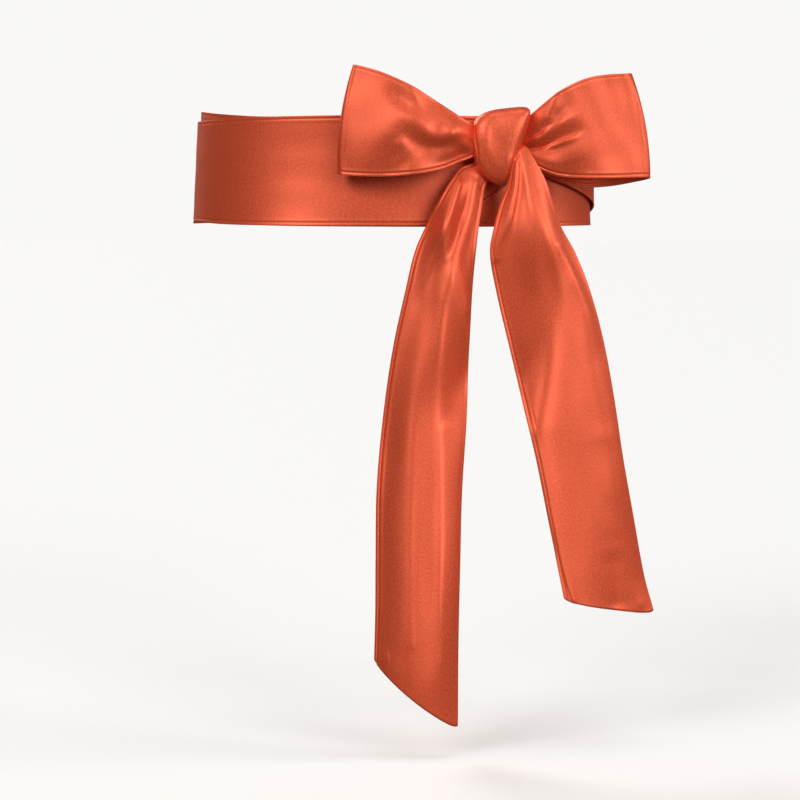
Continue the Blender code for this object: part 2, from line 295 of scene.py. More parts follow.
@dataclass(frozen=True)
class PolyesterSatin:
    """Woven polyester satin, face side out: long floats that glow broadly and softly.

    The floats give a wide coloured sheen along the folds. Where single threads catch the light,
    a faint painted glint is laid into the colour at random.
    """

    base: str = "#DE4F28"
    # Painted glint: the lighter colour of single threads catching the light, laid in at random
    painted_glint: str = "#EC6038"
    shade: str = "#D2431F"
    sheen_colour: str = "#FF9A78"
    tint: str = "#FFD2BE"
    metallic: float = 0.45
    roughness: float = 0.40
    rougher: float = 0.48
    specular: float = 1.0
    ior: float = 1.62
    sheen: float = 0.05
    sheen_roughness: float = 0.35
    anisotropy: float = 0.2
    # Real threads are 0.1 mm apart, too fine to show: the float is drawn 0.45 mm by 2.6 mm.
    float_width: float = 0.45
    float_length: float = 2.6
    float_bump: float = 0.07
    # Size of the spots of painted glint, in millimetres
    painted_glint_size: float = 1.5
    cloud_size: float = 46.0

    def material(self, name: str, mapped: bool = True) -> bpy.types.Material:
        """Makes the satin for one piece.

        Args:
            name: the piece's name.
            mapped: whether the piece has the strip's own UV map, in metres.

        Returns:
            The material.
        """
        material = bpy.data.materials.new(f"{name}_polyester_satin")
        material.use_nodes = True
        tree = material.node_tree
        tree.nodes.clear()
        if mapped:
            place = add_node(tree, "ShaderNodeUVMap", {"uv_map": UV_NAME}).outputs["UV"]
        else:
            place = add_node(tree, "ShaderNodeTexCoord").outputs["Object"]
        floats = add_node(tree, "ShaderNodeMapping", inputs={
            "Vector": place,
            "Scale": (1 / (self.float_width * MM), 1 / (self.float_length * MM), 1.0),
        })
        thread = add_node(tree, "ShaderNodeTexNoise", inputs={
            "Vector": floats.outputs["Vector"], "Scale": 1.0, "Detail": 2.0, "Roughness": 0.6,
        })
        # Fine noise that places the painted glint and varies the roughness
        grain_and_glint = add_node(tree, "ShaderNodeTexNoise", inputs={
            "Vector": place, "Scale": 1 / (self.painted_glint_size * MM), "Detail": 3.0,
            "Roughness": 0.65,
        })
        cloud = add_node(tree, "ShaderNodeTexNoise", inputs={
            "Vector": place, "Scale": 1 / (self.cloud_size * MM), "Detail": 1.0,
        })
        # Where the painted glint shows: the highs of the fine noise
        spread = add_node(tree, "ShaderNodeMapRange", inputs={
            "Value": grain_and_glint.outputs["Fac"], "From Min": 0.36, "From Max": 0.66,
        })
        soft = add_node(tree, "ShaderNodeMapRange", inputs={
            "Value": cloud.outputs["Fac"], "From Min": 0.3, "From Max": 0.7,
            "To Min": 0.25, "To Max": 0.75,
        })
        ground = add_node(tree, "ShaderNodeMix", {"data_type": "RGBA"}, {
            "Factor": soft.outputs["Result"],
            6: linear_colour(self.shade), 7: linear_colour(self.base),
        })
        # Mixes the painted glint into the satin's colour, at random places
        colour = add_node(tree, "ShaderNodeMix", {"data_type": "RGBA"}, {
            "Factor": spread.outputs["Result"],
            6: ground.outputs[2], 7: linear_colour(self.painted_glint),
        })
        rough = add_node(tree, "ShaderNodeMapRange", inputs={
            "Value": grain_and_glint.outputs["Fac"], "From Min": 0.3, "From Max": 0.7,
            "To Min": self.roughness, "To Max": self.rougher,
        })
        weave = add_node(tree, "ShaderNodeBump", inputs={
            "Strength": self.float_bump, "Distance": self.float_width * MM,
            "Height": thread.outputs["Fac"],
        })
        shader = add_node(tree, "ShaderNodeBsdfPrincipled", inputs={
            "Base Color": colour.outputs[2],
            "Metallic": self.metallic,
            "Roughness": rough.outputs["Result"],
            "Normal": weave.outputs["Normal"],
            "IOR": self.ior,
            "Specular IOR Level": self.specular,
            "Specular Tint": linear_colour(self.tint),
            "Sheen Weight": self.sheen,
            "Sheen Roughness": self.sheen_roughness,
            "Sheen Tint": linear_colour(self.sheen_colour),
        })
        if mapped:
            shader.inputs["Anisotropic"].default_value = self.anisotropy
            along = add_node(tree, "ShaderNodeTangent", {
                "direction_type": "UV_MAP", "uv_map": UV_NAME,
            })
            tree.links.new(along.outputs["Tangent"], shader.inputs["Tangent"])
        add_node(tree, "ShaderNodeOutputMaterial", inputs={"Surface": shader.outputs["BSDF"]})
        return material


@dataclass
class ClothStretch:
    """A stretch of the strip: a fine grid laid on the stretch's surface, creased and hemmed."""

    name: str = "stretch"
    nodes: tuple[str, ...] = ()
    creases: tuple[Crease | Swell, ...] = ()
    divisions: tuple[int, int] = (200, 96)
    edge_crowding: float = 0.8
    ripple: float = 0.22
    ripple_size: tuple[float, float] = (16.0, 42.0)
    seed: float = 0.0
    near_hem: float = 0.15
    far_hem: float = 0.08
    knot_hem: float = 0.2
    knot_hem_reach: float = 50.0
    both_ends_tied: bool = True
    hem: Hem = field(default_factory=Hem)
    satin: PolyesterSatin = field(default_factory=PolyesterSatin)

    def surface(
        self, along: np.ndarray, across: np.ndarray
    ) -> tuple[np.ndarray, np.ndarray, np.ndarray, np.ndarray]:
        """The smooth surface before its creases.

        Args:
            along: the place of each point along the stretch, from 0 to 1.
            across: its place across, from 0 to 1.

        Returns:
            The points, the way that relief moves each, their places on the crease chart and the
            width there.
        """
        raise NotImplementedError

    def length(self) -> float:
        """The length of the strip in this stretch, in millimetres."""
        raise NotImplementedError

    def worn(self, crease: Crease | Swell, along: np.ndarray) -> np.ndarray:
        """How much of a crease shows at each place along the stretch."""
        return np.ones_like(along)

    def relief(self, along: np.ndarray, across: np.ndarray, chart: np.ndarray,
               width: np.ndarray) -> np.ndarray:
        """All that moves the cloth off its smooth surface: creases, hems and fine ripples."""
        lift = np.zeros(len(along))
        for crease in self.creases:
            lift += crease.lift(chart) * self.worn(crease, along)
        from_knot = np.minimum(along, 1 - along if self.both_ends_tied else 1.0) * self.length()
        drawn = self.knot_hem * np.exp(-from_knot / self.knot_hem_reach)
        lift += self.hem.lift(across * width) * (self.near_hem + drawn)
        lift += self.hem.lift((1 - across) * width) * (self.far_hem + drawn)
        wide, long = self.ripple_size
        lift += self.ripple * np.array([
            noise.noise(Vector((a * STRIP_WIDTH / wide, l * self.length() / long, self.seed)))
            for a, l in zip(across, along)
        ])
        return lift

    def build(self) -> bpy.types.Object:
        """Makes the stretch, dresses it and gives it to the frame.

        Returns:
            The finished piece.
        """
        form = bmesh.new()
        count_along, count_across = self.divisions
        bmesh.ops.create_grid(form, x_segments=count_along, y_segments=count_across, size=0.5)
        grid = np.array([point.co[:2] for point in form.verts]) + 0.5
        along = grid[:, 0]
        crowd = self.edge_crowding * np.sin(2 * math.pi * grid[:, 1]) / (2 * math.pi)
        across = grid[:, 1] - crowd
        points, outward, chart, width = self.surface(along, across)
        points = points + outward * self.relief(along, across, chart, width)[:, None]
        for vertex, point in zip(form.verts, points * MM):
            vertex.co = point
        flat = form.loops.layers.uv.new(UV_NAME)
        length = self.length()
        for face in form.faces:
            face.smooth = True
            for corner in face.loops:
                k = corner.vert.index
                corner[flat].uv = (across[k] * STRIP_WIDTH * MM, along[k] * length * MM)
        mesh = bpy.data.meshes.new(self.name)
        form.to_mesh(mesh)
        form.free()
        mesh.materials.append(self.satin.material(self.name))
        piece = bpy.data.objects.new(self.name, mesh)
        bpy.context.scene.collection.objects.link(piece)
        wall = piece.modifiers.new("doubled satin", "SOLIDIFY")
        wall.thickness = SHEET_WALL * MM
        wall.offset = 0.0
        wall.use_quality_normals = True
        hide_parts(*self.nodes)
        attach(piece, "root")
        log.info("%s: %d points", self.name, len(points))
        return piece


@dataclass
class WaistTurns(ClothStretch):
    """The middle of the strip: from the knot once round, across the front and once round again.

    Bearings run on past a full circle, falling from the knot round by the viewer's left.
    """

    name: str = "waist_turns"
    nodes: tuple[str, ...] = ("first_turn", "wrap_left", "wrap_right")
    divisions: tuple[int, int] = (440, 80)
    half_width: float = 139.0
    half_depth: float = 99.2
    squareness: float = 2.2
    taper: float = 0.05
    pleats: float = 2.5
    outer: float = 2.1
    mm_per_degree: float = 2.11
    knot_hem: float = 0.9
    knot_hem_reach: float = 60.0
    seed: float = 3.0
    creases: tuple[Crease | Swell, ...] = (
        # The band's front falls back a little along the middle, and rounds over by both sides
        Swell((-58.0, -50.0), (42.0, 27.0), 0.0, 2.4),
        Swell((-52.0, 50.0), (44.0, 24.0), 0.0, 1.6),
        Swell((-142.0, 8.0), (30.0, 60.0), 0.0, 1.2),
        Swell((-1345.0, -8.0), (32.0, 44.0), 0.0, 1.2),
    )
    turns: tuple[Turn, ...] = (
        Turn(33, -7.0, 29.5, 2.9, 2.6),
        Turn(31, -10.5, 31.0, 2.9, 2.4),
        Turn(25, -20.5, 35.0, 2.9, 1.8),
        Turn(19, -30.0, 36.6, 2.5, 1.0),
        Turn(12, -37.0, 37.6, 2.1, 0.3),
        Turn(0, -38.0, 37.7, 2.1, 0.0),
        Turn(-38, -38.1, 36.6, 2.1, 0.0),
        Turn(-56, -37.6, 35.2, 2.1, 0.0),
        Turn(-76, -36.3, 34.2, 2.1, 0.0),
        Turn(-92, -38.4, 34.3, 2.1, 0.0),
        Turn(-130, -38.5, 36.5, 2.1, 0.0),
        Turn(-148, -38.5, 36.0, 3.3, 0.5),
        Turn(-160, -38.0, 26.0, 5.2, 2.0),
        Turn(-170, -38.0, 5.0, 7.2, 3.8),
        Turn(-175, -36.5, 2.5, 5.6, 4.6),
        Turn(-180, -36.0, 1.5, 0.9, 5.0),
        Turn(-185, -36.5, 2.5, 0.2, 4.6),
        Turn(-190, -38.0, 5.0, 0.0, 3.8),
        Turn(-200, -38.0, 26.0, 0.0, 2.0),
        Turn(-212, -38.5, 37.0, 0.0, 0.5),
        Turn(-230, -38.5, 37.5, 0.0, 0.0),
        Turn(-270, -39.2, 37.0, 0.0, 0.0),
        Turn(-300, -39.0, 37.0, 0.0, 0.0),
        Turn(-330, -39.0, 37.0, 0.0, 0.0),
        Turn(-360, -38.8, 37.0, 0.0, 0.0),
        Turn(-398, -38.2, 36.9, 0.0, 0.0),
        Turn(-418, -37.0, 38.8, 0.0, 0.0),
        Turn(-438, -35.5, 41.0, 0.0, 0.0),
        Turn(-452, -36.0, 41.2, 0.0, 0.0),
        Turn(-490, -37.5, 39.2, 0.0, 0.0),
        Turn(-508, -37.0, 38.5, 0.0, 0.5),
        Turn(-520, -26.0, 38.0, 0.0, 2.0),
        Turn(-530, -5.0, 38.0, 0.0, 3.8),
        Turn(-535, -2.5, 36.5, 0.2, 4.6),
        Turn(-540, -1.5, 36.0, 0.9, 5.0),
        Turn(-545, -2.5, 36.5, 5.6, 4.6),
        Turn(-550, -5.0, 38.0, 7.2, 3.8),
        Turn(-560, -26.0, 38.0, 5.2, 2.0),
        Turn(-572, -36.0, 38.5, 3.3, 0.5),
        Turn(-590, -37.0, 38.5, 2.1, 0.0),
        Turn(-615, -33.0, 38.0, 2.1, 0.0),
        Turn(-630, -27.0, 37.5, 2.1, 0.3),
        Turn(-650, -17.0, 36.5, 2.1, 1.0),
        Turn(-667, -8.0, 35.5, 2.4, 2.0),
        Turn(-678, 0.0, 34.0, 2.7, 3.0),
        Turn(-687, 6.0, 32.0, 2.7, 3.4),
    )

    def length(self) -> float:
        """The length of both turns along the strip's middle, in millimetres."""
        return (self.turns[0].bearing - self.turns[-1].bearing) * self.mm_per_degree

    def surface(
        self, along: np.ndarray, across: np.ndarray
    ) -> tuple[np.ndarray, np.ndarray, np.ndarray, np.ndarray]:
        """The strip wound on the waist, with its gathers, as ClothStretch.surface gives it."""
        first = self.turns[0].bearing
        span = first - self.turns[-1].bearing
        table = SmoothTable(
            [(first - turn.bearing) / span for turn in self.turns],
            [turn[1:] for turn in self.turns],
        )
        low, high, out, pleat = table.at(along).T
        bearing = first - span * along
        z = low + (high - low) * across
        gather = 0.5 - 0.5 * np.cos(2 * math.pi * self.pleats * across)
        angle = np.radians(bearing)
        power = 2 / self.squareness
        side = np.sign(np.sin(angle)) * np.abs(np.sin(angle)) ** power
        ahead = -np.sign(np.cos(angle)) * np.abs(np.cos(angle)) ** power
        wide = self.half_width - self.taper * z
        deep = self.half_depth - self.taper * z
        normals = np.stack([
            np.sign(side) * np.abs(side) ** (self.squareness - 1) / wide,
            np.sign(ahead) * np.abs(ahead) ** (self.squareness - 1) / deep,
            np.zeros_like(z),
        ], axis=1)
        normals /= np.linalg.norm(normals, axis=1)[:, None]
        points = np.stack([wide * side, deep * ahead, z], axis=1)
        points += normals * (out + np.maximum(pleat, 0.0) * gather)[:, None]
        chart = np.stack([bearing * self.mm_per_degree, z], axis=1)
        return points, normals, chart, high - low


@dataclass
class BowStretch(ClothStretch):
    """A free stretch of the bow: a loop or a tail, from a table of sections."""

    sections: tuple[Section, ...] = ()
    facing: int = 1
    tip_section: int | None = None
    end_bulge: float = 3.2
    end_corner: float = 2.2
    corner_width: float = 2.4
    end_start: int = 12

    def places(self) -> np.ndarray:
        """The place of each section along the stretch's middle, in millimetres."""
        middles = [(np.array(s.edge) + np.array(s.far_edge)) / 2 for s in self.sections]
        steps = np.linalg.norm(np.diff(middles, axis=0), axis=1)
        return np.concatenate([[0.0], np.cumsum(steps)])

    def length(self) -> float:
        """The length of the stretch along its middle, in millimetres."""
        return float(self.places()[-1])

    def worn(self, crease: Crease | Swell, along: np.ndarray) -> np.ndarray:
        """Keeps a crease on its own panel of a loop, and fades it at the tip."""
        if self.tip_section is None or crease.face is Face.BOTH:
            return np.ones_like(along)
        places = self.places()
        past = (along * places[-1] - places[self.tip_section]) / 8.0
        return eased(-past) if crease.face is Face.FRONT else eased(past)

    def surface(
        self, along: np.ndarray, across: np.ndarray
    ) -> tuple[np.ndarray, np.ndarray, np.ndarray, np.ndarray]:
        """The crowned surface through the sections, as ClothStretch.surface gives it."""
        places = self.places()
        table = SmoothTable(places / places[-1], [(*s.edge, *s.far_edge, s.crown)
                                                  for s in self.sections])

        def flat(at: np.ndarray) -> tuple[np.ndarray, np.ndarray]:
            rows = table.at(at)
            near, far = rows[:, :3], rows[:, 3:6]
            return near + (far - near) * across[:, None], far - near

        step = 0.004
        run = flat(np.minimum(along + step, 1.0))[0] - flat(np.maximum(along - step, 0.0))[0]
        points, width = flat(along)
        normals = np.cross(run, width) * self.facing
        normals /= np.linalg.norm(normals, axis=1)[:, None]
        arch = 1 - (2 * across - 1) ** 2
        crown = table.at(along)[:, 6] * arch
        points = points + normals * crown[:, None]
        breadth = np.linalg.norm(width, axis=1)
        if not self.both_ends_tied:
            corners = np.exp(-across * breadth / self.corner_width)
            corners += np.exp(-(1 - across) * breadth / self.corner_width)
            reach = (self.end_bulge * arch - self.end_corner * corners) * along**self.end_start
            points += run / np.linalg.norm(run, axis=1)[:, None] * reach[:, None]
        outward = normals * (0.0, 1.0, 0.0)
        return points, outward, points[:, [0, 2]], breadth


LEFT_LOOP = BowStretch(
    name="left_bow_loop",
    nodes=("left_loop",),
    divisions=(170, 96),
    facing=-1,
    tip_section=7,
    near_hem=0.4,
    seed=11.0,
    sections=(
        Section((66, -114, 14), (66, -114, 24), 0.5),
        Section((56, -118, 9.5), (56, -118, 30), 1.5),
        Section((46, -123, 5.7), (45.3, -123, 36), 3.0),
        Section((31.7, -127, 0.3), (31.7, -127, 44.8), 4.5),
        Section((10.1, -129, -3.4), (12.8, -129, 56.8), 5.5),
        Section((-12.2, -128, -4.4), (-6.1, -127, 65.6), 5.0),
        Section((-31.3, -121, -3.7), (-21.5, -121, 70.4), 3.6),
        Section((-37.6, -112, -2.7), (-26.8, -113, 71.2), 3.2),
        Section((-31.5, -104.5, -3.5), (-20.0, -106, 68.5), 1.2),
        Section((-10.0, -104.5, -4.5), (-3.0, -105, 62.0), 0.8),
        Section((14.0, -105.0, -3.5), (16.0, -105, 51.0), 1.0),
        Section((38.0, -104.5, 2.5), (38.0, -104.5, 40.0), 1.0),
        Section((54.0, -105.0, 9.0), (54.0, -105, 30.0), 0.8),
        Section((66.0, -106, 14.0), (66.0, -106, 24.0), 0.4),
    ),
    creases=(
        # The main ridge, and the deep trough under it
        Crease(((52.8, 24.7), (47.1, 26.4), (38.9, 22.7), (32.4, 21.4), (26.0, 23.3),
            (20.0, 28.2), (14.6, 33.6), (9.4, 36.2), (3.1, 34.2)), 1.9, 3.9, 6.9, starts=0.5),
        Crease(((46.4, 22.7), (38.2, 19.8), (31.8, 16.6), (26.2, 17.3), (20.7, 19.1),
            (15.7, 22.3), (11.0, 26.3), (6.2, 29.7)), -1.1, 1.9, 10.6, starts=0.0, lean=-0.3),
        # The second ridge, which turns down to the lower edge
        Crease(((40.2, 12.1), (32.0, 10.1), (23.5, 9.4), (15.6, 11.6), (9.1, 17.2), (3.0, 24.0)),
            2.9, 3.1, 14.6, starts=0.4, lean=-0.1),
        Crease(((1.5, 23.2), (6.4, 16.4), (10.9, 10.5), (13.5, 5.3)), 1.8, 3.8, 8.8, starts=0.1,
            lean=-0.1),
        # The faint ridge by the tip, and the hollow under it
        Crease(((-32.5, -1.3), (-15.4, -1.3), (-0.1, -0.6), (11.1, 1.5)), -3.3, 20.4, 8.9,
            starts=0.8, lean=0.4),
        Crease(((27.1, 37.3), (19.0, 44.5), (11.6, 52.8), (2.7, 60.2), (-2.7, 64.3)), 2.8, 5.0,
            9.0, starts=0.0, lean=0.2, fade_in=0.6),
        # The upper ridge and trough, and the small pinch where they end
        Crease(((20.7, 36.3), (13.9, 42.2), (7.2, 48.8), (1.2, 55.6), (-4.2, 61.0)), -2.8, 5.6,
            9.6, starts=0.1, lean=-0.2, fade_in=0.6),
        Crease(((54.0, 27.7), (46.7, 32.4), (38.6, 36.4), (30.4, 40.5)), -1.5, 3.6, 4.6,
            starts=0.2),
        Crease(((53.9, 13.8), (48.5, 17.9), (42.4, 22.0)), 0.6, 2.4, 2.6),
        # Lines drawn in at the knot
        Crease(((53.2, 8.4), (46.6, 10.4), (39.3, 8.4)), -2.9, 6.3, 5.6, starts=0.3, lean=0.2),
        # Broad swells and hollows between the creases
        Swell((-16.0, 31.0), (24.7, 26.7), -5.0, -5.7),
        Swell((-42.0, 3.0), (21.7, 5.7), -77.0, 7.0),
        Swell((4.0, 56.0), (26.7, 143.3), 72.0, -5.5),
        Swell((7.0, 13.0), (42.9, 11.1), 56.0, -2.9),
        Swell((26.0, 35.0), (18.0, 8.0), 1.0, 2.4),
        Swell((22.0, 11.0), (18.7, 9.2), -7.0, -7.0),
        Swell((42.0, 28.0), (8.7, 7.8), -75.0, 4.9),
        # The hidden panel
        Crease(((54.0, 20.0), (34.0, 24.0), (8.0, 32.0), (-12.0, 38.0)), 1.3, 3.0, 8.0,
            face=Face.BACK),
        Crease(((54.0, 16.0), (36.0, 14.0), (12.0, 16.0), (-8.0, 14.0)), -1.2, 3.0, 7.0,
            face=Face.BACK),
        Crease(((52.0, 26.0), (36.0, 35.0), (18.0, 46.0)), -1.0, 2.5, 5.0, face=Face.BACK),
    ),
)

RIGHT_LOOP = BowStretch(
    name="right_bow_loop",
    nodes=("right_loop",),
    divisions=(170, 96),
    facing=1,
    tip_section=7,
    near_hem=0.4,
    seed=23.0,
    sections=(
        Section((82.0, -107, 13), (82.0, -107, 24), 0.5),
        Section((90.0, -111, 8), (92.5, -111, 36), 1.5),
        Section((100.5, -114, 0.2), (103.7, -114, 46.0), 3.5),
        Section((114.2, -114.5, -4.4), (113.8, -114.5, 54.0), 5.0),
        Section((135.4, -110, -5.6), (131.0, -110, 62.2), 5.5),
        Section((156.5, -101, -5.4), (146.5, -101, 65.2), 4.0),
        Section((171.0, -92, -5.1), (158.8, -92, 66.0), 3.4),
        Section((177.2, -83, -5.6), (164.0, -83, 66.0), 3.2),
        Section((170.4, -76, -7.6), (158.0, -76, 63.5), 2.2),
        Section((148.0, -75, -11.4), (140.0, -75, 58.0), 2.0),
        Section((126.0, -80, -11.5), (123.0, -80, 50.0), 2.5),
        Section((108.0, -88, -5.5), (107.0, -88, 42.0), 2.0),
        Section((94.0, -96, 2.0), (94.0, -96, 31.0), 1.0),
        Section((82.0, -101, 12.0), (82.0, -101, 22.0), 0.4),
    ),
    creases=(
        # The sharp ridge out of the knot, and the long troughs under it
        Crease(((89.0, 18.9), (95.9, 20.9), (101.1, 23.5), (107.4, 28.3), (114.1, 32.4),
            (123.0, 36.5), (129.7, 37.8)), 0.9, 1.7, 3.0, starts=0.8, lean=-0.4),
        Crease(((90.4, 13.4), (100.9, 15.4), (109.6, 19.1), (119.2, 23.8), (127.1, 27.8),
            (133.0, 29.8)), -2.9, 1.8, 4.5, starts=0.3, lean=0.5),
        Crease(((100.3, 14.5), (111.2, 17.7), (119.4, 21.2), (128.8, 24.6)), 0.9, 1.3, 1.8,
            starts=0.3, lean=-0.5),
        Crease(((91.8, 14.6), (103.3, 14.5), (111.0, 15.4), (118.5, 18.2), (127.3, 21.6)), -1.7,
            2.5, 3.4, starts=0.3, lean=-0.3),
        # The low round ridge, and the hollow over the lower edge
        Crease(((91.3, 12.2), (99.5, 9.5), (107.9, 7.0), (117.0, 7.0), (126.4, 10.0),
            (134.5, 14.2)), 0.8, 4.0, 5.4, starts=0.1, lean=0.3),
        Crease(((95.3, -1.9), (112.9, -6.1), (133.8, -6.9)), -5.4, 3.3, 5.3, starts=0.5,
            lean=0.4),
        # The upper ridge with a trough on each side
        Crease(((103.1, 27.1), (105.2, 34.7), (107.3, 40.1), (111.3, 46.2), (117.4, 51.6)), 1.2,
            3.6, 5.6, starts=0.3, lean=-0.2),
        Crease(((109.0, 30.4), (112.9, 38.3), (119.2, 44.6), (127.7, 49.2)), -0.7, 2.2, 7.0,
            starts=0.5, lean=0.2),
        Crease(((95.4, 21.0), (101.8, 28.1), (106.2, 36.0)), -1.2, 3.2, 3.2, starts=0.3),
        # Broad swells and hollows between the creases
        Swell((143.0, 66.0), (25.4, 13.9), -44.0, -7.0),
        Swell((181.0, 13.0), (14.1, 72.0), 50.0, -5.0),
        Swell((135.0, 70.0), (110.5, 17.9), -2.0, 5.4),
        Swell((141.0, 5.0), (44.0, 11.6), 3.0, -1.6),
        Swell((133.0, 18.0), (26.1, 19.3), -33.0, -7.0),
        Swell((121.0, 0.0), (34.1, 12.6), -31.0, -6.1),
        Swell((106.0, 32.0), (28.6, 85.8), -73.0, -5.7),
        # The hidden panel
        Crease(((88.0, 16.0), (104.0, 20.0), (124.0, 30.0), (144.0, 38.0)), 1.8, 3.0, 9.0,
            face=Face.BACK),
        Crease(((88.0, 20.0), (104.0, 28.0), (122.0, 42.0)), -1.5, 2.5, 6.0, face=Face.BACK),
        Crease(((88.0, 13.0), (106.0, 9.0), (128.0, 8.0), (146.0, 4.0)), -1.5, 2.5, 7.0,
            face=Face.BACK),
    ),
)

LEFT_TAIL = BowStretch(
    name="left_sash_tail",
    nodes=("left_tail",),
    divisions=(250, 96),
    facing=1,
    both_ends_tied=False,
    near_hem=0.9,
    seed=37.0,
    sections=(
        Section((66, -109, 14), (74, -109, 10), 0.5),
        Section((55, -111, 4.5), (67.4, -111, -4.1), 2.0),
        Section((46.5, -112, 1.5), (64.6, -112, -7.5), 3.5),
        Section((39.5, -114, -7.0), (62.1, -114, -13.6), 5.0),
        Section((32.5, -117, -18.5), (60.4, -117, -23.7), 6.0),
        Section((25.1, -120, -33.1), (58.3, -120, -37.2), 7.0),
        Section((15.5, -122, -54.1), (56.2, -122, -54.1), 8.5),
        Section((8.8, -124, -81.1), (53.5, -124, -81.1), 10.0),
        Section((0.0, -127, -121.6), (51.5, -127, -121.6), 11.5),
        Section((-6.8, -129, -169), (49.8, -129, -169), 12.5),
        Section((-10.9, -131, -216), (46.7, -131, -216), 13.0),
        Section((-11.6, -133, -264), (45.3, -133, -266), 13.0),
        Section((-11.8, -135, -300), (44.2, -135, -318), 13.0),
        Section((-12.6, -136, -334.0), (43.9, -136, -380.4), 13.0),
    ),
    creases=(
        # The ridges and troughs drawn in at the knot
        Crease(((44.4, -9.1), (38.9, -27.1), (32.9, -41.2), (26.4, -56.1), (21.4, -73.1),
            (17.9, -92.1)), 3.1, 3.0, 5.2, lean=-0.2),
        Crease(((53.8, -4.7), (50.5, -20.8), (45.7, -34.6), (41.0, -48.1), (36.2, -65.0),
            (32.2, -88.5)), -4.7, 3.6, 5.4, starts=0.2),
        Crease(((56.5, -8.3), (52.0, -23.1), (48.2, -35.4), (45.2, -47.2), (41.7, -61.4),
            (37.6, -80.5)), 0.8, 2.6, 3.5, starts=0.8, lean=0.2),
        Crease(((59.4, -7.0), (57.5, -23.9), (53.7, -39.1), (51.6, -47.4), (48.5, -61.8),
            (46.0, -77.6)), -2.1, 3.1, 7.2, starts=0.5, lean=-0.1),
        # The long crest whose left side falls away, and the soft hollows beside it
        Crease(((15.3, -115.3), (11.9, -142.3), (9.9, -176.0), (9.2, -223.7), (9.2, -278.5),
            (11.2, -319.5)), 1.1, 13.2, 5.3, starts=0.0, ends=0.4, lean=-0.5),
        Crease(((2.0, -128.5), (-2.0, -169.1), (-3.4, -223.7), (-3.4, -278.5), (-2.8, -319.7)),
            -2.3, 9.0, 10.2, starts=0.1, ends=0.4, lean=0.3),
        Crease(((53.4, -102.0), (50.8, -122.4), (47.4, -146.5), (43.2, -160.6)), -1.4, 5.2, 6.3),
        Crease(((33.9, -175.9), (34.0, -237.4), (32.7, -292.2), (32.0, -333.5)), 0.6, 4.2, 2.5,
            ends=0.5, lean=0.3),
        # Broad swells and hollows between the creases
        Swell((46.0, -86.0), (8.1, 98.0), 13.0, 5.3),
        Swell((11.0, -78.0), (7.4, 35.4), -14.0, 2.6),
        Swell((37.0, -22.0), (6.9, 157.2), -2.0, 4.5),
        Swell((5.0, -139.0), (10.7, 135.2), -10.0, -3.3),
        Swell((44.0, -148.0), (18.1, 44.5), -19.0, -5.0),
        Swell((3.0, -259.0), (28.3, 56.7), 22.0, 3.0),
        Swell((38.0, -276.0), (11.5, 73.5), -2.0, 5.9),
        Swell((3.0, -334.0), (25.1, 56.1), -10.0, 7.0),
        Swell((23.0, -349.0), (12.4, 22.4), -22.0, 1.2),
    ),
)

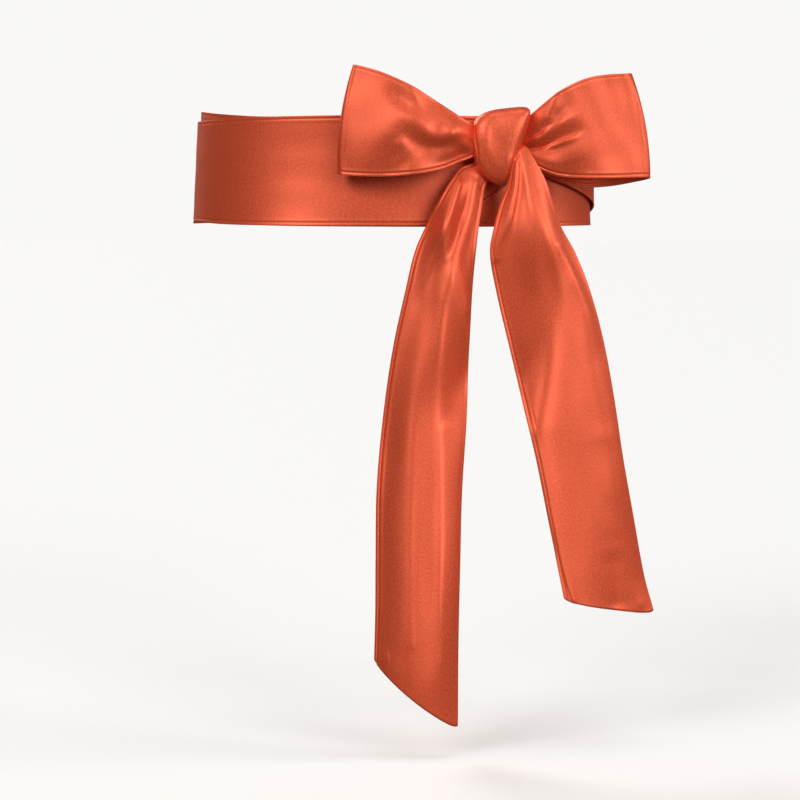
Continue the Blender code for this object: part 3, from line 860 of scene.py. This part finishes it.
RIGHT_TAIL = BowStretch(
    name="right_sash_tail",
    nodes=("right_tail",),
    divisions=(230, 96),
    facing=1,
    both_ends_tied=False,
    near_hem=0.35,
    seed=53.0,
    sections=(
        Section((74, -112, 14), (84, -110, 17), 0.5),
        Section((82.1, -119.5, 13.0), (90.3, -117.8, 15.6), 1.0),
        Section((80.0, -121, 1.4), (94.9, -121, 8.1), 2.5),
        Section((77.3, -123, -11.5), (103.0, -122, -6.8), 4.5),
        Section((72.5, -125, -23.7), (108.0, -122, -22.3), 6.0),
        Section((68.4, -127, -39.2), (114.0, -121, -39.2), 7.0),
        Section((65.7, -128, -55.4), (123.2, -119, -55.4), 7.5),
        Section((69.8, -129, -81.1), (133.6, -117, -81.1), 7.5),
        Section((78.0, -131, -116.4), (143.4, -113, -116.4), 7.5),
        Section((87.6, -133, -155.9), (151.0, -109, -155.9), 7.5),
        Section((97.2, -135, -196.9), (157.4, -105, -196.9), 7.0),
        Section((105.5, -137, -238), (165.2, -103, -238), 6.5),
        Section((113.2, -138, -276), (173.6, -101, -281), 6.0),
        Section((116.6, -139, -292.5), (180.6, -101, -305.8), 6.0),
    ),
    creases=(
        # The ridges that fan out of the knot
        Crease(((84.1, 6.8), (82.8, -10.2), (80.1, -23.7), (77.5, -35.3), (72.7, -47.5),
            (69.4, -58.3)), 3.0, 2.3, 5.6, starts=0.9, ends=0.3, lean=-0.4),
        Crease(((85.5, 3.4), (85.1, -14.8), (83.8, -24.8), (80.8, -36.2), (76.8, -47.0)), -0.7,
            1.7, 2.1, starts=0.6, lean=0.3),
        Crease(((89.3, 3.5), (92.0, -16.8), (94.1, -30.3), (96.2, -44.5)), 0.7, 2.2, 4.3,
            starts=0.5, lean=0.2),
        # The long slanting crest, dark on its left side
        Crease(((100.8, -16.8), (107.6, -39.7), (113.1, -54.0), (117.1, -69.1), (116.5, -82.7),
            (112.6, -98.4), (105.0, -118.9), (96.9, -137.2), (90.1, -153.7), (84.0, -170.1)),
            2.6, 3.8, 23.8, starts=0.2, lean=0.1, fade_in=0.25),
        Crease(((112.4, -51.1), (120.5, -68.1), (128.7, -88.4), (134.9, -108.7),
            (138.4, -132.4)), 3.2, 2.2, 7.1, starts=0.3, lean=-0.1),
        Crease(((145.5, -183.6), (152.6, -224.8), (161.6, -266.1), (169.3, -297.1)), 3.2, 10.5,
            7.2, starts=0.3, ends=0.8, lean=-0.1),
        # The soft waves of the lower part
        Crease(((97.9, -177.3), (106.3, -225.4), (115.5, -266.9), (122.5, -291.8)), 1.3, 7.9,
            1.9, starts=0.6, ends=0.5, lean=0.5),
        Crease(((149.2, -256.2), (150.7, -276.9), (152.1, -295.6)), -1.9, 9.9, 6.6, starts=0.4,
            ends=1.0, lean=-0.1),
        # Broad swells and hollows between the creases
        Swell((98.0, -49.0), (12.7, 33.5), 6.0, 6.7),
        Swell((82.0, -140.0), (10.1, 44.1), 3.0, -5.7),
        Swell((107.0, -45.0), (7.4, 39.0), 17.0, 4.2),
        Swell((92.0, -138.0), (10.8, 38.4), -11.0, -7.0),
        Swell((139.0, -140.0), (12.3, 56.7), 16.0, 5.6),
        Swell((92.0, -165.0), (31.3, 65.4), 2.0, 7.0),
        Swell((158.0, -204.0), (17.4, 45.5), 21.0, 7.0),
        Swell((117.0, -229.0), (7.7, 32.5), 12.0, 1.0),
        Swell((130.0, -298.0), (15.8, 62.6), -66.0, -2.1),
        Swell((158.0, -305.0), (18.8, 15.4), 5.0, -7.0),
    ),
)


@dataclass
class Knot:
    """The knot: the strip drawn over the front, a broad top and a narrow foot, padded by its layers."""

    name: str = "bow_knot"
    node: str = "knot"
    sides: int = 192
    rings: int = 120
    flatness: float = 5.0
    shoulder: float = 1.2
    shoulder_x: float = 58.0
    turn: float = -3.0
    front: float = 19.5
    back: float = 15.8
    centre_y: float = -105.5
    skew: float = 0.10
    top_squareness: float = 0.72
    side_squareness: float = 0.4
    fullness: float = 0.8
    satin: PolyesterSatin = field(default_factory=PolyesterSatin)
    levels: tuple[Level, ...] = (
        Level(-10.8, 69.0, 79.0),
        Level(-5.4, 61.5, 80.4),
        Level(1.4, 56.6, 82.4),
        Level(17.0, 53.6, 87.4),
        Level(32.0, 53.0, 93.8),
        Level(42.0, 53.0, 100.0),
    )
    creases: tuple[Crease | Swell, ...] = (
        # The folded edge down the right side, and the pressed edge down the left
        Crease(((94.0, 39.0), (92.0, 35.7), (87.9, 21.6), (83.2, 6.8), (79.2, -4.7)), -0.9, 0.8,
               0.8, ends=0.6),
        Crease(((56.5, 38.0), (56.1, 35.1), (55.5, 23.6), (57.2, 13.5), (58.2, 4.7),
                (60.2, 1.4)), -0.8, 0.7, 0.8, ends=0.7),
        Crease(((59.6, 0.0), (66.3, -5.4), (73.8, -9.5)), -0.5, 0.8, 0.8, starts=0.7, ends=0.4),
        # Soft folds down the face
        Crease(((61.5, 36.0), (62.9, 20.2), (67.0, 8.8), (75.8, -4.1)), 0.5, 4.0, 2.5,
               starts=0.3),
        Crease(((71.7, 42.0), (70.3, 34.0), (69.5, 24.0), (71.0, 10.0)), -0.6, 3.2, 4.5),
        Crease(((76.5, -5.4), (78.5, 3.4), (81.2, 13.5)), 0.5, 2.2, 3.4),
    )

    def surface(self, ball: np.ndarray) -> tuple[np.ndarray, np.ndarray]:
        """Shapes points of a ball to the knot.

        Args:
            ball: points on a ball of radius 1.

        Returns:
            The knot's points, and the way that relief moves each of them.
        """
        table = SmoothTable([level.z for level in self.levels],
                            [level[1:] for level in self.levels])
        low, high = self.levels[0].z, self.levels[-1].z
        ring = np.hypot(ball[:, 0], ball[:, 1])
        aside, ahead = (ball[:, :2] / np.maximum(ring, MM)[:, None]).T
        ahead = np.sign(ahead) * np.abs(ahead) ** (2 / self.flatness)
        aside = np.sign(aside) * np.abs(aside) ** (2 / self.flatness)
        lift = np.sign(ball[:, 2]) * np.abs(ball[:, 2]) ** self.top_squareness
        level = (low + high) / 2 + (high - low) / 2 * lift
        left, right = table.at(np.clip(level, low, high)).T
        full = ring**self.side_squareness
        across = aside * (right - left) / 2 * full
        depth = np.where(ahead < 0, self.front, self.back)
        forward = ahead * depth * full
        x = (left + right) / 2 + across
        y = self.centre_y + forward + across * math.sin(math.radians(self.turn))
        z = level + self.skew * across * np.maximum(lift, 0.0)
        z -= self.shoulder * np.exp(-(((x - self.shoulder_x) / 9.0) ** 2)) * np.maximum(lift, 0.0)
        outward = np.zeros_like(ball)
        outward[:, 1] = -eased(-forward / 6.0)
        return np.stack([x, y, z], axis=1), outward

    def build(self) -> bpy.types.Object:
        """Makes the knot, dresses it and gives it to the frame.

        Returns:
            The finished piece.
        """
        form = bmesh.new()
        bmesh.ops.create_uvsphere(form, u_segments=self.sides, v_segments=self.rings, radius=1.0)
        points, outward = self.surface(np.array([point.co[:] for point in form.verts]))
        relief = sum(crease.lift(points[:, [0, 2]]) for crease in self.creases)
        points += outward * relief[:, None]
        for vertex, point in zip(form.verts, points * MM):
            vertex.co = point
        for face in form.faces:
            face.smooth = True
        bmesh.ops.recalc_face_normals(form, faces=form.faces)
        mesh = bpy.data.meshes.new(self.name)
        form.to_mesh(mesh)
        form.free()
        mesh.materials.append(self.satin.material(self.name, mapped=False))
        piece = bpy.data.objects.new(self.name, mesh)
        bpy.context.scene.collection.objects.link(piece)
        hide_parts(self.node)
        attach(piece, "root")
        log.info("%s: %d points", self.name, len(points))
        return piece


@dataclass(frozen=True)
class SoftLight:
    """A large soft light far off: its bearing to the right of the camera, its height and spread.

    All three are in degrees.
    """

    name: str
    bearing: float
    height: float
    spread: float
    strength: float

    def hang(self) -> None:
        """Adds the light to the scene."""
        data = bpy.data.lights.new(self.name, "SUN")
        data.energy = self.strength
        data.angle = math.radians(self.spread)
        light = bpy.data.objects.new(self.name, data)
        bearing, height = math.radians(self.bearing), math.radians(self.height)
        shines_from = Vector((
            math.sin(bearing) * math.cos(height),
            -math.cos(bearing) * math.cos(height),
            math.sin(height),
        ))
        light.rotation_euler = (-shines_from).to_track_quat("-Z", "Y").to_euler()
        bpy.context.scene.collection.objects.link(light)


@dataclass
class Studio:
    """The pale floor, the soft lights and the camera at the photograph's angle."""

    floor_z: float = -0.40
    floor_size: float = 30.0
    floor_colour: str = "#F9F8F6"
    surround_colour: str = "#F9F8F7"
    surround_strength: float = 1.0
    room_strength: float = 0.13
    camera_place: tuple[float, float, float] = (0.0047, -2.2, 0.0)
    camera_pitch: float = 85.697
    lens: float = 137.55
    sensor: float = 36.0
    soft_lights: tuple[SoftLight, ...] = (
        SoftLight("right_softbox", 30, 15, 32, 1.4),
        SoftLight("left_softbox", -37, 30, 32, 1.46),
        SoftLight("side_softbox", 80, 25, 34, 1.16),
        SoftLight("top_softbox", 0, 80, 34, 0.61),
        SoftLight("back_softbox", 215, 28, 34, 1.34),
    )

    def floor(self) -> None:
        """Lays the pale matte floor under the sash."""
        form = bmesh.new()
        bmesh.ops.create_grid(form, x_segments=1, y_segments=1, size=self.floor_size / 2)
        bmesh.ops.translate(form, verts=form.verts, vec=(0.0, 0.0, self.floor_z))
        mesh = bpy.data.meshes.new("studio_floor")
        form.to_mesh(mesh)
        form.free()
        material = bpy.data.materials.new("matte_painted_floor")
        material.use_nodes = True
        tree = material.node_tree
        tree.nodes.clear()
        shader = add_node(tree, "ShaderNodeBsdfPrincipled", inputs={
            "Base Color": linear_colour(self.floor_colour), "Roughness": 0.85,
        })
        add_node(tree, "ShaderNodeOutputMaterial", inputs={"Surface": shader.outputs["BSDF"]})
        mesh.materials.append(material)
        floor = bpy.data.objects.new("studio_floor", mesh)
        floor.visible_diffuse = False
        floor.visible_glossy = False
        bpy.context.scene.collection.objects.link(floor)

    def lights(self) -> None:
        """Hangs the soft lights and sets the pale surround."""
        for light in self.soft_lights:
            light.hang()
        world = bpy.data.worlds.new("studio_surround")
        world.use_nodes = True
        tree = world.node_tree
        tree.nodes.clear()
        pale = linear_colour(self.surround_colour)
        seen = add_node(tree, "ShaderNodeBackground", inputs={
            "Color": pale, "Strength": self.surround_strength,
        })
        room = add_node(tree, "ShaderNodeBackground", inputs={
            "Color": pale, "Strength": self.room_strength,
        })
        rays = add_node(tree, "ShaderNodeLightPath")
        both = add_node(tree, "ShaderNodeMixShader", inputs={
            0: rays.outputs["Is Camera Ray"],
            1: room.outputs["Background"], 2: seen.outputs["Background"],
        })
        add_node(tree, "ShaderNodeOutputWorld", inputs={"Surface": both.outputs["Shader"]})
        bpy.context.scene.world = world

    def camera(self) -> None:
        """Sets the camera at the photograph's viewing angle."""
        data = bpy.data.cameras.new("photo_camera")
        data.lens = self.lens
        data.sensor_width = self.sensor
        camera = bpy.data.objects.new("photo_camera", data)
        camera.location = self.camera_place
        camera.rotation_euler = (math.radians(self.camera_pitch), 0.0, 0.0)
        bpy.context.scene.collection.objects.link(camera)
        bpy.context.scene.camera = camera
        bpy.context.scene.view_settings.view_transform = "Standard"

    def build(self) -> None:
        """Sets up the whole studio."""
        self.camera()
        self.floor()
        self.lights()


def corners(box: Sequence[Sequence[float]]) -> list[list[float]]:
    """A box's two corners as plain lists of numbers."""
    return [[float(value) for value in corner] for corner in box]


def main() -> None:
    """Builds the sash and its studio."""
    logging.basicConfig(level=logging.INFO, format="%(message)s")
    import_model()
    Studio().build()
    turns = WaistTurns()
    waist = turns.build()
    turns.length() * MM
    knot = Knot().build()
    for stretch, held in (
        (LEFT_LOOP, "gathered"),
        (RIGHT_LOOP, "gathered"),
        (LEFT_TAIL, "hung"),
        (RIGHT_TAIL, "hung"),
    ):
        piece = stretch.build()
        stretch.length() * MM


if __name__ == "__main__":
    main()
